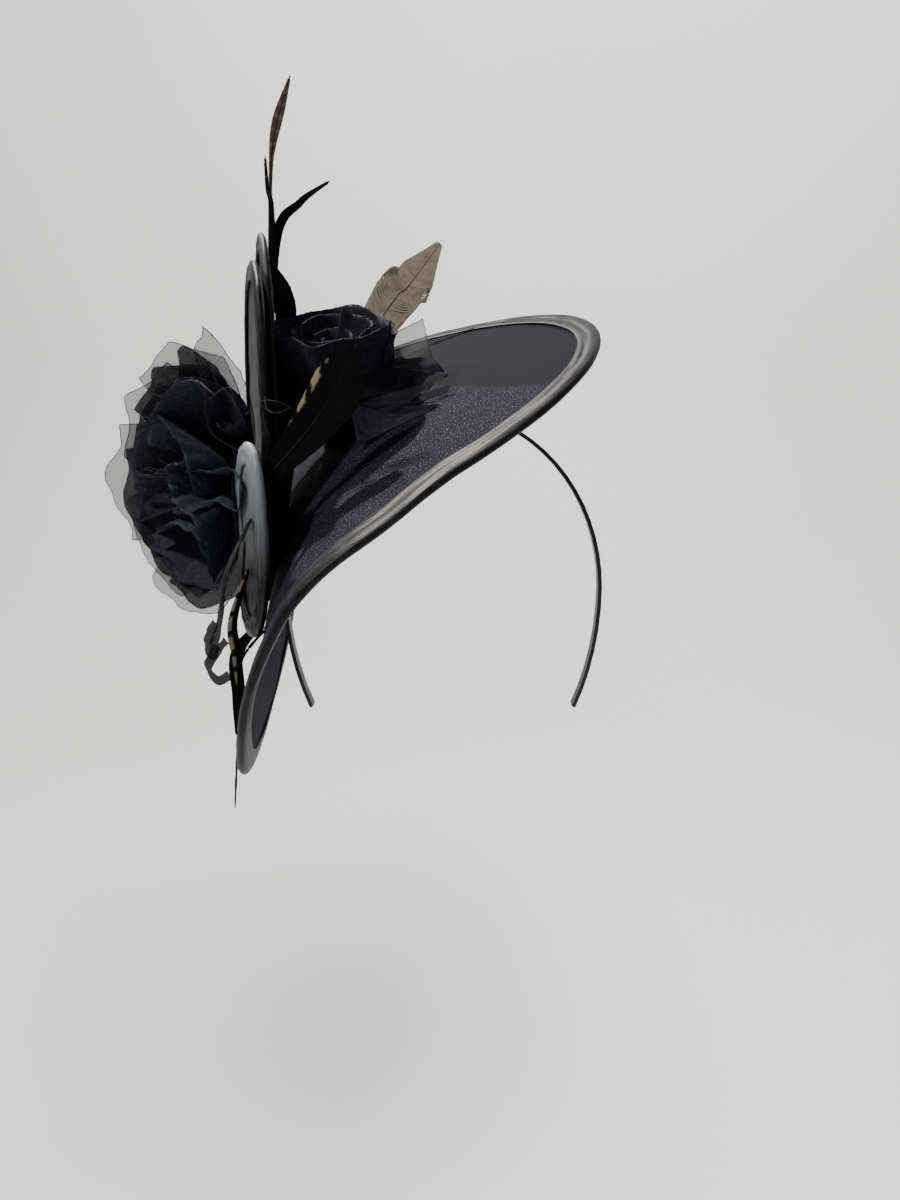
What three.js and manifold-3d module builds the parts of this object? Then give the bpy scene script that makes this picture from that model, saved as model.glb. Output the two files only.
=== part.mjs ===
// A black cocktail fascinator as it is worn: a long saucer brim that droops over one side of the head,
// two tall sails and a short one standing on its drooping end, a ruffled rose on each side of them,
// a spray of feathers, a ribbon tail, and the slim arched headband that carries everything.
// Millimetres, +X to the wearer's left, +Y to the back of the head, +Z up.
// The origin is the middle of the headband's underside at its crown, where it sits on the head.
import * as THREE from 'three';
import { mergeVertices } from 'three/addons/utils/BufferGeometryUtils.js';
import Module from 'manifold-3d';

const wasm = await Module();
wasm.setup();

const BLACK_SATIN = new THREE.MeshStandardMaterial({ color: 0x16161b, roughness: 0.35 });
const BLACK_CREPE = new THREE.MeshStandardMaterial({ color: 0x0d0d13, roughness: 0.75 });
const BLACK_CHIFFON = new THREE.MeshStandardMaterial({ color: 0x0b0b12, roughness: 0.9 });
const BLACK_ORGANZA = new THREE.MeshStandardMaterial({ color: 0x15151a, roughness: 0.6 });
const BLACK_FEATHER = new THREE.MeshStandardMaterial({ color: 0x08080a, roughness: 0.55 });
const BROWN_FEATHER = new THREE.MeshStandardMaterial({ color: 0x6b5c4c, roughness: 0.8 });
const BLACK_RIBBON = new THREE.MeshStandardMaterial({ color: 0x111116, roughness: 0.5 });

// Driving dimensions.
const GAP = 0.3; // between pieces that touch
const CHIFFON = 1.0; // thickness of a rose's ruffles and petals
const SATIN = 1.0; // thickness of the folded satin binding

const HEADBAND = { halfWidth: 81, crownHeight: 92, sideDrop: 119, endDrop: 62, width: 7, thickness: 2 };

const BRIM = {
  length: 299, width: 210, thickness: 2.2, bindingWidth: 10,
  raisedEnd: { x: 75, y: 11.5, z: 41.5 }, // the tip of the rim at the wearer's left
  startSlope: 22.4, endSlope: 77.8, // degrees below the horizontal, at the two ends of the spine
  straight: 88, bendRadius: 121.5, // a straight run, then an arc, then a straight drooping end
  tailRun: 9, // how much longer its drooping half is than its raised one
  rollAtRise: 18, rollOverHead: 19.6, rollAtDroop: 2.3, // degrees from the front edge up to the back one
  rollEases: [0.12, 0.6, 1], // shares of the way to the raised end at which those three hold
  backwardRun: -30.5, // how far the spine comes forward over its length
  dome: 8.9, // how far the middle stands above the rim where it lies over the head
  hollowAtRise: 18.7, hollowAtDroop: 19, // how much deeper it is at its two ends than over the head
  riseSharpness: 6.4, droopSharpness: 5, // how closely those hollows keep to their ends
  eggShape: 0.06, // how much wider the raised half is
};

// Each sail is a bound panel that stands on the brim and runs away to the back.
// heading turns its lower edge from +Y towards -X, fullness squares or points its tips.
// foot bends its lower end in to the brim, tipForward carries its top to the front.
const SAILS = [
  { name: 'tall_sail_outer', x: -90.2, y: -11, z: -10, halfHeight: 78, halfDepth: 41, heading: 17,
    fullness: 0.25, foot: 0, tipForward: 7, thickness: 1.2, bindingWidth: 7 },
  { name: 'tall_sail_inner', x: -85.5, y: -7, z: 6.5, halfHeight: 75.5, halfDepth: 33, heading: 17,
    fullness: -0.2, foot: 0, tipForward: 0, thickness: 1.2, bindingWidth: 7 },
  { name: 'short_sail', x: -83.8, y: -65, z: -55, halfHeight: 42, halfDepth: 14, heading: 35,
    fullness: 0.3, foot: -2, tipForward: 0, thickness: 1.6, bindingWidth: 8 },
];

// heading turns a rose's axis from the front towards the wearer's right, and pitch tips it up.
// rightLift raises its petals on the wearer's right, and cup bends them up.
const SIDE_ROSE = {
  x: -98, y: -14, z: -33, heading: 40, pitch: 0, rightLift: 14, cup: 1.4, calyxRadius: 14, calyxDepth: 16,
  ruffleFloor: 2.9,
};
const TOP_ROSE = {
  x: -48, y: -2.5, z: -0.3, heading: 12, pitch: 68, rightLift: 0, cup: 1, calyxRadius: 14, calyxDepth: 18,
  ruffleFloor: 4.5,
};

// Ruffles of a rose, from its heart outwards, as walls that open from a root circle to a folded rim.
// opening is 1 for a cone and less for a barrel, slack how much less it opens on the wearer's left.
const SIDE_RUFFLES = [
  { name: 'side_rose_heart', rootRadius: 3, rimRadius: 8, height: 26, opening: 0.8, folds: 2, foldDepth: 2.5,
    turn: 265, slack: 0, columns: 22 },
  { name: 'side_rose_inner_ruffle', rootRadius: 7, rimRadius: 22.5, height: 29, opening: 0.8, folds: 4,
    foldDepth: 5, turn: 80, slack: 8, columns: 36 },
  { name: 'side_rose_outer_ruffle', rootRadius: 13, rimRadius: 47, height: 33, opening: 0.8, folds: 6,
    foldDepth: 6.5, turn: 10, slack: 21, columns: 48 },
];
const TOP_RUFFLES = [
  { name: 'top_rose_heart', rootRadius: 2.5, rimRadius: 8, height: 36, opening: 0.5, folds: 2, foldDepth: 2.5,
    turn: 0, slack: 0, columns: 20 },
  { name: 'top_rose_inner_ruffle', rootRadius: 7, rimRadius: 16, height: 41, opening: 0.5, folds: 3,
    foldDepth: 2.5, turn: 50, slack: 0, columns: 28 },
  { name: 'top_rose_outer_ruffle', rootRadius: 12.5, rimRadius: 25, height: 40, opening: 0.45, folds: 3,
    foldDepth: 2, turn: 200, slack: 0, columns: 32 },
];

// Organza petals round a rose, as seen down its axis, with the angle from the wearer's left.
// corner is how far the tip stands out past its sides, and below 0 the sides stand out.
const SIDE_PETALS = [
  { name: 'side_rose_petal_1', angle: 78, reach: 56, lift: 18, halfWidth: 13, corner: 16, layer: 0 },
  { name: 'side_rose_petal_2', angle: 98, reach: 50, lift: 18, halfWidth: 27, corner: 12, layer: 1 },
  { name: 'side_rose_petal_3', angle: 140, reach: 48, lift: 18, halfWidth: 28, corner: 6, layer: 0 },
  { name: 'side_rose_petal_4', angle: 182, reach: 49, lift: 18, halfWidth: 27, corner: 8, layer: 1 },
  { name: 'side_rose_petal_5', angle: 220, reach: 50, lift: 18, halfWidth: 28, corner: 4, layer: 0 },
  { name: 'side_rose_petal_6', angle: 257, reach: 52, lift: 18, halfWidth: 24, corner: 6, layer: 1 },
];
const TOP_PETALS = [
  { name: 'top_rose_petal_1', angle: 338, reach: 34, lift: 22, halfWidth: 14, corner: 8, layer: 0 },
  { name: 'top_rose_petal_2', angle: 8, reach: 39, lift: 34, halfWidth: 20, corner: -3, layer: 1 },
  { name: 'top_rose_petal_3', angle: 36, reach: 34, lift: 50, halfWidth: 16, corner: -4, layer: 2 },
  { name: 'top_rose_petal_4', angle: 92, reach: 32, lift: 30, halfWidth: 18, corner: 8, layer: 0 },
];

// Feathers and ribbons are flat lens sections along a bowed path. seat names the panel that the root
// lies on, a and b where on it, and side the face, 1 for the outer one. The rest of the path is in the
// part's frame. face is the direction that the flat side looks in.
const FEATHERS = [
  { name: 'tall_feather', seat: 'tall_sail_inner', a: 0.35, b: -0.15, side: -1, thickness: 1.4,
    belly: [-79.5, -12, 96], bend: [-77, -10, 124], tip: [-68.5, -10, 149.9],
    widths: [1.6, 2, 3.4, 0.8], face: [0.2, -1, 0], material: BROWN_FEATHER },
  { name: 'small_feather', seat: 'tall_sail_inner', a: 0.3, b: -0.42, side: -1, thickness: 1.2,
    belly: [-77.2, -21, 86], bend: [-79.4, -18, 101], tip: [-80.5, -15, 114.7],
    widths: [1.4, 1.6, 2, 0.7], face: [0.2, -1, 0], material: BLACK_FEATHER },
  { name: 'curved_feather', seat: 'tall_sail_inner', a: 0.25, b: 0.15, side: -1, thickness: 1.4,
    belly: [-79, -2, 82], bend: [-66, -10, 96], tip: [-50.9, -18, 103.6],
    widths: [2, 4, 4, 0.8], face: [0.3, -1, 0.2], material: BLACK_FEATHER },
  { name: 'leaf_feather', seat: 'tall_sail_inner', a: 0.1, b: -0.1, side: -1, thickness: 1.2,
    belly: [-76.6, -4, 40], bend: [-75.8, -10, 54], tip: [-80.5, -14, 70],
    widths: [2, 8, 10, 1.2], face: [0.3, -1, 0.1], material: BLACK_FEATHER },
  { name: 'front_feather', seat: 'short_sail', a: 0.55, b: 0, side: -1, thickness: 1.6,
    belly: [-68, -62, -18], bend: [-50, -60, 4], tip: [-37, -57, 29],
    widths: [4, 16, 22, 2], face: [0.2, -1, 0.3], material: BLACK_FEATHER },
  { name: 'lower_feather', seat: 'short_sail', a: -0.3, b: 0.1, side: 1, thickness: 1.2,
    belly: [-93.6, -68, -90.7], bend: [-93.2, -66, -107.7], tip: [-93.9, -64, -122.3],
    widths: [1.2, 5, 6, 1.2], face: [0.3, -1, 0], material: BLACK_FEATHER },
  { name: 'ribbon_tail', seat: 'short_sail', a: 0.25, b: -0.3, side: 1, thickness: 1,
    belly: [-92, -80, -66], bend: [-97, -77, -88], tip: [-102.2, -73, -103.1],
    widths: [4, 5, 6, 7], face: [-0.8, -0.5, 0], material: BLACK_RIBBON },
  { name: 'hanging_stem', seat: 'brim', a: -0.55, b: -0.1, side: 1, thickness: 1.2,
    belly: [-102.6, -24, -126], bend: [-105.5, -24, -165], tip: [-108.8, -24, -202.9],
    widths: [1.6, 1.8, 1.8, 1.2], face: [0.2, -1, 0], material: BLACK_RIBBON },
  { name: 'hanging_feather', seat: 'brim', a: -0.5, b: -0.22, side: 1, thickness: 1.2,
    belly: [-101.2, -31, -116], bend: [-102, -31, -138], tip: [-103.5, -31, -159.3],
    widths: [1.6, 6, 6, 2], face: [0.2, -1, 0], material: BLACK_FEATHER },
  { name: 'back_feather', seat: 'brim', a: -0.02, b: 0.66, side: 1, thickness: 1.6,
    belly: [-31.5, 71, 55.5], bend: [-19, 80, 70], tip: [-1.7, 88, 93.5],
    widths: [1, 12, 26, 3], face: [0.2, -1, 0.2], material: BROWN_FEATHER },
];

// Petals spring from a radius round the calyx's neck, lie flat for a short way and reach their lift at
// full spread. A layer lies a step above the one under it, and the step grows outwards.
const PETAL = { root: 12, flat: 15, spread: 50, step: 1.5, stepGrowth: 2.6, rootShare: 0.2, widening: 1.3 };
const CALYX = { neck: 10.5, rise: 6, sides: 20 };
const FEATHER_STEPS = 12;

const radians = THREE.MathUtils.degToRad;
const mix = THREE.MathUtils.lerp;
const turns = (share) => 2 * Math.PI * share;
const part = new THREE.Group();

// Skins a row of sections. A section has an upper and a lower rail with as many points each.
// A closed row joins its last section to its first, and an open row is capped at both ends.
function skin(sections, closed) {
  const width = sections[0].upper.length;
  const outlines = sections.map(({ upper, lower }) => [...upper, ...[...lower].reverse()]);
  const positions = outlines.flat().flatMap((point) => point.toArray());
  const around = 2 * width;
  const index = [];
  const quad = (a, b, c, d) => index.push(a, b, c, a, c, d);
  const spans = closed ? sections.length : sections.length - 1;
  for (let i = 0; i < spans; i++) {
    const here = i * around;
    const next = ((i + 1) % sections.length) * around;
    for (let k = 0; k < around; k++) {
      const l = (k + 1) % around;
      quad(here + k, here + l, next + l, next + k);
    }
  }
  if (!closed) {
    const last = (sections.length - 1) * around;
    for (let k = 0; k < width - 1; k++) {
      const opposite = around - 1 - k;
      quad(k, opposite, opposite - 1, k + 1);
      quad(last + k, last + k + 1, last + opposite - 1, last + opposite);
    }
  }
  const geometry = new THREE.BufferGeometry();
  geometry.setAttribute('position', new THREE.Float32BufferAttribute(positions, 3));
  geometry.setIndex(index);
  return facingOut(mergeVertices(geometry, 1e-3));
}

// Drops the triangles that merging has closed up, and turns the rest outwards.
function facingOut(geometry) {
  const corner = (i) => new THREE.Vector3().fromBufferAttribute(geometry.attributes.position, i);
  const kept = [];
  let volume = 0;
  for (let i = 0; i < geometry.index.count; i += 3) {
    const [a, b, c] = [0, 1, 2].map((k) => geometry.index.getX(i + k));
    if (a === b || b === c || c === a) continue;
    kept.push(a, b, c);
    volume += corner(a).dot(corner(b).cross(corner(c)));
  }
  if (volume < 0) kept.reverse();
  geometry.setIndex(kept);
  geometry.computeVertexNormals();
  return geometry;
}

// The unit normal of a surface of two parameters, from a small step along each.
function normalOf(surface, u, v) {
  const step = 1e-3;
  const along = surface(u + step, v).sub(surface(u - step, v));
  const across = surface(u, v + step).sub(surface(u, v - step));
  return along.cross(across).normalize();
}

// A rectangular piece of cloth: middle(u, v) is its middle surface, u and v from 0 to 1.
function clothSolid(middle, columns, rows, thickness, closed = false) {
  const sections = [];
  for (let i = 0; i < (closed ? columns : columns + 1); i++) {
    const section = { upper: [], lower: [] };
    for (let j = 0; j <= rows; j++) {
      const point = middle(i / columns, j / rows);
      const normal = normalOf(middle, i / columns, j / rows);
      section.upper.push(point.clone().addScaledVector(normal, thickness / 2));
      section.lower.push(point.clone().addScaledVector(normal, -thickness / 2));
    }
    sections.push(section);
  }
  return skin(sections, closed);
}

function addPiece(name, geometry, material, holder = part) {
  const mesh = new THREE.Mesh(geometry, material);
  mesh.name = name;
  holder.add(mesh);
  return mesh;
}

// A bound panel is an oval sheet. Its surface(a, b) has a from -1 to 1 along its length and b across it.
// rimPlace gives a and b at a turn round the rim, moved in from it by a distance in millimetres.
function rimPlace(panel, turn, inset) {
  const a = Math.cos(turns(turn));
  const b = Math.sin(turns(turn));
  const radius = Math.hypot(a * panel.halfLength, b * panel.halfWidth);
  const share = 1 - inset / radius;
  return [a * share, b * share];
}

function panelSolid(panel, above, below) {
  const sections = [];
  for (let i = 0; i < panel.spokes; i++) {
    const section = { upper: [], lower: [] };
    const [rimA, rimB] = rimPlace(panel, i / panel.spokes, 0);
    const [hemA, hemB] = rimPlace(panel, i / panel.spokes, panel.bindingWidth);
    const places = [];
    for (let j = 0; j <= panel.rings; j++) places.push([hemA * j / panel.rings, hemB * j / panel.rings]);
    places.push([rimA, rimB]);
    for (const [a, b] of places) {
      const point = panel.surface(a, b);
      const normal = normalOf(panel.surface, a, b);
      section.upper.push(point.clone().addScaledVector(normal, above));
      section.lower.push(point.clone().addScaledVector(normal, -below));
    }
    sections.push(section);
  }
  return skin(sections, true);
}

// Satin folded over a panel's rim: a U that runs in from the rim on both faces.
function bindingSolid(panel) {
  const sections = [];
  const inner = panel.thickness / 2 + GAP;
  const outer = inner + SATIN;
  for (let i = 0; i < panel.spokes; i++) {
    const rim = rimPlace(panel, i / panel.spokes, 0);
    const hem = rimPlace(panel, i / panel.spokes, panel.bindingWidth);
    const rimPoint = panel.surface(...rim);
    const hemPoint = panel.surface(...hem);
    const rimNormal = normalOf(panel.surface, ...rim);
    const hemNormal = normalOf(panel.surface, ...hem);
    const outwards = rimPoint.clone().sub(hemPoint).normalize();
    const at = (point, normal, height, out) =>
      point.clone().addScaledVector(normal, height).addScaledVector(outwards, out);
    const around = (height) => [
      at(hemPoint, hemNormal, height, 0), at(rimPoint, rimNormal, height, 0),
      at(rimPoint, rimNormal, 0, height),
      at(rimPoint, rimNormal, -height, 0), at(hemPoint, hemNormal, -height, 0),
    ];
    sections.push({ upper: around(inner), lower: around(outer) });
  }
  return skin(sections, true);
}

// The spine is a straight run, an arc that steepens it, and a straight end.
function spineAt(travelled) {
  const start = radians(BRIM.startSlope);
  const end = radians(BRIM.endSlope);
  const onArc = Math.min(Math.max(travelled - BRIM.straight, 0), BRIM.bendRadius * (end - start));
  const slope = start + onArc / BRIM.bendRadius;
  const before = Math.min(travelled, BRIM.straight);
  const after = travelled - before - onArc;
  return {
    slope,
    x: BRIM.raisedEnd.x - before * Math.cos(start) - BRIM.bendRadius * (Math.sin(slope) - Math.sin(start))
      - after * Math.cos(slope),
    z: BRIM.raisedEnd.z - before * Math.sin(start) - BRIM.bendRadius * (Math.cos(start) - Math.cos(slope))
      - after * Math.sin(slope),
  };
}

// a is 1 at the raised end and -1 at the drooping one, b is -1 at the front edge and 1 at the back edge.
function brimSurface(a, b) {
  const spine = spineAt(BRIM.length * (1 - a) / 2 + BRIM.tailRun * Math.max(-a, 0) ** 3);
  const raised = THREE.MathUtils.clamp((a + 1) / 2, 0, 1);
  const [atDroop, overHead, atRise] = BRIM.rollEases;
  const roll = radians(BRIM.rollAtDroop
    + (BRIM.rollOverHead - BRIM.rollAtDroop) * THREE.MathUtils.smoothstep(raised, atDroop, overHead)
    + (BRIM.rollAtRise - BRIM.rollOverHead) * THREE.MathUtils.smoothstep(raised, overHead, atRise));
  const across = b * (1 + BRIM.eggShape * a) * BRIM.width / 2;
  const dish = BRIM.hollowAtRise * raised ** BRIM.riseSharpness
    + BRIM.hollowAtDroop * (1 - raised) ** BRIM.droopSharpness - BRIM.dome;
  const rise = across * Math.sin(roll) + dish * (a * a + b * b - 1);
  return new THREE.Vector3(
    spine.x - rise * Math.sin(spine.slope),
    BRIM.raisedEnd.y + BRIM.backwardRun * (1 - a) / 2 + across * Math.cos(roll),
    spine.z + rise * Math.cos(spine.slope),
  );
}

// a is -1 at the foot and 1 at the tip, b is -1 at the front edge and 1 at the back edge.
function sailSurface(sail, a, b) {
  const heading = radians(sail.heading);
  const back = b * sail.halfDepth * (1 + sail.fullness * a * a) - sail.tipForward * Math.max(a, 0) ** 2;
  const height = sail.z + a * sail.halfHeight;
  const inwards = sail.foot * Math.max(-a, 0) ** 2;
  return new THREE.Vector3(
    sail.x - back * Math.sin(heading) + inwards * Math.cos(heading),
    sail.y + back * Math.cos(heading) + inwards * Math.sin(heading),
    height,
  );
}

const panels = {};
panels.brim = {
  ...BRIM, surface: brimSurface, halfLength: BRIM.length / 2, halfWidth: BRIM.width / 2, spokes: 52, rings: 4,
};
for (const sail of SAILS) {
  panels[sail.name] = {
    ...sail, surface: (a, b) => sailSurface(sail, a, b),
    halfLength: sail.halfHeight, halfWidth: sail.halfDepth, spokes: 24, rings: 2,
  };
}
for (const [name, panel] of Object.entries(panels)) {
  addPiece(name, panelSolid(panel, panel.thickness / 2, panel.thickness / 2), BLACK_CREPE);
  addPiece(`${name}_binding`, bindingSolid(panel), BLACK_SATIN);
}

// The headband is an arch of half ellipses, taller above its widest place and longer below it.
function headband() {
  const { halfWidth, crownHeight, sideDrop, endDrop, width, thickness } = HEADBAND;
  const steps = 44;
  const endAngle = Math.asin(endDrop / sideDrop);
  const sections = [];
  for (let i = 0; i <= steps; i++) {
    const angle = mix(-endAngle, Math.PI + endAngle, i / steps);
    const height = Math.sin(angle) > 0 ? crownHeight : sideDrop;
    const along = new THREE.Vector3(halfWidth * Math.cos(angle), 0, height * Math.sin(angle) - crownHeight);
    const normal = new THREE.Vector3(Math.cos(angle) / halfWidth, 0, Math.sin(angle) / height).normalize();
    const rail = (out) => [-1, 1].map((side) =>
      along.clone().addScaledVector(normal, out).add(new THREE.Vector3(0, side * width / 2, 0)));
    sections.push({ upper: rail(thickness), lower: rail(0) });
  }
  return skin(sections, false);
}
addPiece('headband', headband(), BLACK_SATIN);

// A rose's group: its own +Z is the flower's axis, its +X points to the wearer's left, its +Y up.
function roseGroup({ x, y, z, heading, pitch }) {
  const turn = radians(heading);
  const tip = radians(pitch);
  const front = new THREE.Vector3(-Math.sin(turn), -Math.cos(turn), 0);
  const axis = front.multiplyScalar(Math.cos(tip)).setZ(Math.sin(tip));
  const sideways = new THREE.Vector3(Math.cos(turn), -Math.sin(turn), 0);
  const upwards = new THREE.Vector3().crossVectors(axis, sideways);
  const group = new THREE.Group();
  group.position.set(x, y, z);
  group.setRotationFromMatrix(new THREE.Matrix4().makeBasis(sideways, upwards, axis));
  part.add(group);
  group.updateMatrixWorld(true);
  return group;
}

function ruffleSurface(ruffle, floor, u, v) {
  const angle = turns(u);
  const grown = Math.max(v, 0);
  const fold = ruffle.foldDepth * grown * Math.sin(ruffle.folds * angle + radians(ruffle.turn));
  const radius = mix(ruffle.rootRadius, ruffle.rimRadius, grown ** ruffle.opening) + fold
    - ruffle.slack * grown * (1 + Math.cos(angle)) / 2;
  return new THREE.Vector3(radius * Math.cos(angle), radius * Math.sin(angle), floor + ruffle.height * v);
}

// A petal lies along the bowl of its layer and ends in a corner.
function petalSurface(rose, petal, u, v) {
  const side = 2 * u - 1;
  const grown = Math.max(v, 0);
  const radial = PETAL.root + petal.reach * v - petal.corner * Math.abs(side) ** 1.5 * grown;
  const opened = Math.sqrt(Math.min(grown * PETAL.widening, 1));
  const across = side * petal.halfWidth * mix(PETAL.rootShare, 1, opened);
  const angle = radians(petal.angle);
  const x = radial * Math.cos(angle) - across * Math.sin(angle);
  const y = radial * Math.sin(angle) + across * Math.cos(angle);
  const out = Math.max(Math.hypot(x, y) - PETAL.flat, 0) / PETAL.spread;
  const lift = petal.lift + rose.rightLift * (1 - x / Math.hypot(x, y)) / 2;
  const step = PETAL.step + PETAL.stepGrowth * out;
  return new THREE.Vector3(x, y, CHIFFON / 2 + GAP + petal.layer * step + lift * out ** rose.cup);
}

// A solid from a closed geometry, and back.
function solidOf(geometry) {
  const bare = geometry.index ? geometry.clone() : mergeVertices(geometry);
  bare.deleteAttribute('normal');
  bare.deleteAttribute('uv');
  const merged = mergeVertices(bare, 1e-3);
  const vertProperties = merged.attributes.position.array;
  const triVerts = new Uint32Array(merged.index.array);
  return new wasm.Manifold(new wasm.Mesh({ numProp: 3, vertProperties, triVerts }));
}
function geometryOf(solid) {
  const { vertProperties, triVerts } = solid.getMesh();
  const geometry = new THREE.BufferGeometry();
  geometry.setAttribute('position', new THREE.BufferAttribute(vertProperties, 3));
  geometry.setIndex(new THREE.BufferAttribute(triVerts, 1));
  geometry.computeVertexNormals();
  return geometry;
}

// The calyx is a short felt stem that ends on the panel that carries the rose.
function calyxSolid(rose, panel, group) {
  const { calyxRadius: radius, calyxDepth: depth } = rose;
  const corners = [
    [0, -depth], [radius, -depth], [radius, 0], [CALYX.neck, 0], [CALYX.neck, CALYX.rise], [0, CALYX.rise],
  ];
  const profile = corners.map(([x, y]) => new THREE.Vector2(x, y));
  const stem = new THREE.LatheGeometry(profile, CALYX.sides).rotateX(Math.PI / 2);
  const below = panelSolid(panel, panel.thickness / 2 + GAP, 2 * depth);
  below.applyMatrix4(group.matrixWorld.clone().invert());
  return geometryOf(solidOf(stem).subtract(solidOf(below)));
}

function addRose(name, rose, panel, ruffles, petals) {
  const group = roseGroup(rose);
  ruffles.forEach((ruffle, order) => {
    const floor = (order === ruffles.length - 1 ? rose.ruffleFloor : CALYX.rise) + GAP + CHIFFON / 2;
    const middle = (u, v) => ruffleSurface(ruffle, floor, u, v);
    addPiece(ruffle.name, clothSolid(middle, ruffle.columns, 3, CHIFFON, true), BLACK_CHIFFON, group);
  });
  for (const petal of petals) {
    const middle = (u, v) => petalSurface(rose, petal, u, v);
    addPiece(petal.name, clothSolid(middle, 6, 4, CHIFFON), BLACK_ORGANZA, group);
  }
  addPiece(`${name}_calyx`, calyxSolid(rose, panel, group), BLACK_CREPE, group);
}
addRose('side_rose', SIDE_ROSE, panels.tall_sail_outer, SIDE_RUFFLES, SIDE_PETALS);
addRose('top_rose', TOP_ROSE, panels.brim, TOP_RUFFLES, TOP_PETALS);

function featherSolid(feather) {
  const panel = panels[feather.seat];
  const lift = feather.side * ((panel.thickness + feather.thickness) / 2 + GAP);
  const root = panel.surface(feather.a, feather.b)
    .addScaledVector(normalOf(panel.surface, feather.a, feather.b), lift);
  const vector = (values) => new THREE.Vector3(...values);
  const { belly, bend, tip } = feather;
  const path = new THREE.CatmullRomCurve3([root, vector(belly), vector(bend), vector(tip)]);
  const widths = new THREE.SplineCurve(feather.widths.map((width, i) => new THREE.Vector2(i, width)));
  const sections = [];
  for (let i = 0; i <= FEATHER_STEPS; i++) {
    const share = i / FEATHER_STEPS;
    const centre = path.getPoint(share);
    const across = new THREE.Vector3().crossVectors(path.getTangent(share), vector(feather.face)).normalize();
    const over = new THREE.Vector3().crossVectors(across, path.getTangent(share)).normalize();
    const width = widths.getPoint(share).y;
    const thick = Math.min(feather.thickness, width);
    const at = (side, height) =>
      centre.clone().addScaledVector(across, side * width / 2).addScaledVector(over, height * thick / 2);
    sections.push({ upper: [at(-1, 0), at(0, 1), at(1, 0)], lower: [at(-1, 0), at(0, -1), at(1, 0)] });
  }
  return skin(sections, false);
}
for (const feather of FEATHERS) {
  addPiece(feather.name, featherSolid(feather), feather.material);
}

export default part;
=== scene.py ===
# A black cocktail fascinator dressed in its real cloth and feathers.
# Lengths are in millimetres until they go into a mesh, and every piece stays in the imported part's frame:
# +X to the wearer's left, +Y to the back of the head, +Z up, origin under the headband's crown.
import math

import bmesh
import bpy
import numpy as np
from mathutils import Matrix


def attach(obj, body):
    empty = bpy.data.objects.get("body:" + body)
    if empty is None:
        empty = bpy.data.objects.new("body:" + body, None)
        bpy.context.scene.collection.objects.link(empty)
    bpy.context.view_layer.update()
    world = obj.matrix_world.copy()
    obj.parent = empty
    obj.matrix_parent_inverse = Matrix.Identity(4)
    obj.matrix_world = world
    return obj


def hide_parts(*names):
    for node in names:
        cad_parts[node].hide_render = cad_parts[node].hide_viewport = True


print("frame: loading the packed part")
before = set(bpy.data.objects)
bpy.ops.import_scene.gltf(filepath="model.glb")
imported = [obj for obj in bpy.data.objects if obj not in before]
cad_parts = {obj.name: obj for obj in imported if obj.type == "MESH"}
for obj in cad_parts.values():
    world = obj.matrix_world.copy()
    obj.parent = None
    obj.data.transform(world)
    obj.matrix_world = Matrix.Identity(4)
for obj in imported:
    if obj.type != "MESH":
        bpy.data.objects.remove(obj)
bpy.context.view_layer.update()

scene = bpy.context.scene
mmToM = 0.001
gap = 0.3           # between pieces that touch


# Small helpers


def toLinear(hexCode):
    # sRGB hex to linear RGBA: below 0.04045 a straight line, above it a power of 2.4
    shares = [int(hexCode[k:k + 2], 16) / 255 for k in (1, 3, 5)]
    return tuple(c / 12.92 if c <= 0.04045 else ((c + 0.055) / 1.055) ** 2.4 for c in shares) + (1.0,)


def addNode(tree, kind, settings=None, links=None):
    # settings go to a property where the node has one, otherwise to the input of that name or number
    node = tree.nodes.new("ShaderNode" + kind)
    for key, value in (settings or {}).items():
        if isinstance(key, str) and hasattr(node, key):
            setattr(node, key, value)
        else:
            node.inputs[key].default_value = value
    for key, socket in (links or {}).items():
        tree.links.new(socket, node.inputs[key])
    return node


def smooth(x, low, high):
    # 0 below low, 1 above high, and 3t^2 - 2t^3 between them
    t = np.clip((x - low) / (high - low), 0, 1)
    return t * t * (3 - 2 * t)


def unit(vectors):
    # each vector divided by its own length
    return vectors / np.maximum(np.linalg.norm(vectors, axis=-1, keepdims=True), 1e-9)


def rumple(seed, u, v, count, low, high, lean=0.6):
    # a sum of sine waves over u and v, whole turns in u, each with its own seeded phase, about -1 to 1
    rng = np.random.default_rng(seed)
    total = np.zeros(np.broadcast(u, v).shape)
    for around, across, phase in zip(rng.integers(low, high + 1, count),
                                     rng.uniform(-lean, lean, count) * high,
                                     rng.uniform(0, 2 * np.pi, count)):
        total += np.sin(2 * np.pi * (around * u + across * v) + phase)
    return total / math.sqrt(count)


def throughPoints(points, samples):
    # a Catmull-Rom curve through the points, at even steps of their running length
    points = np.asarray(points, float)
    run = np.concatenate([[0], np.cumsum(np.linalg.norm(np.diff(points, axis=0), axis=1))])
    padded = np.vstack([2 * points[0] - points[1], points, 2 * points[-1] - points[-2]])
    at = np.linspace(0, run[-1], samples)
    k = np.clip(np.searchsorted(run, at, side="right") - 1, 0, len(points) - 2)
    t = ((at - run[k]) / (run[k + 1] - run[k]))[:, None]
    p0, p1, p2, p3 = padded[k], padded[k + 1], padded[k + 2], padded[k + 3]
    return 0.5 * (2 * p1 + (p2 - p0) * t + (2 * p0 - 5 * p1 + 4 * p2 - p3) * t ** 2
                  + (3 * p1 - p0 - 3 * p2 + p3) * t ** 3)


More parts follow.
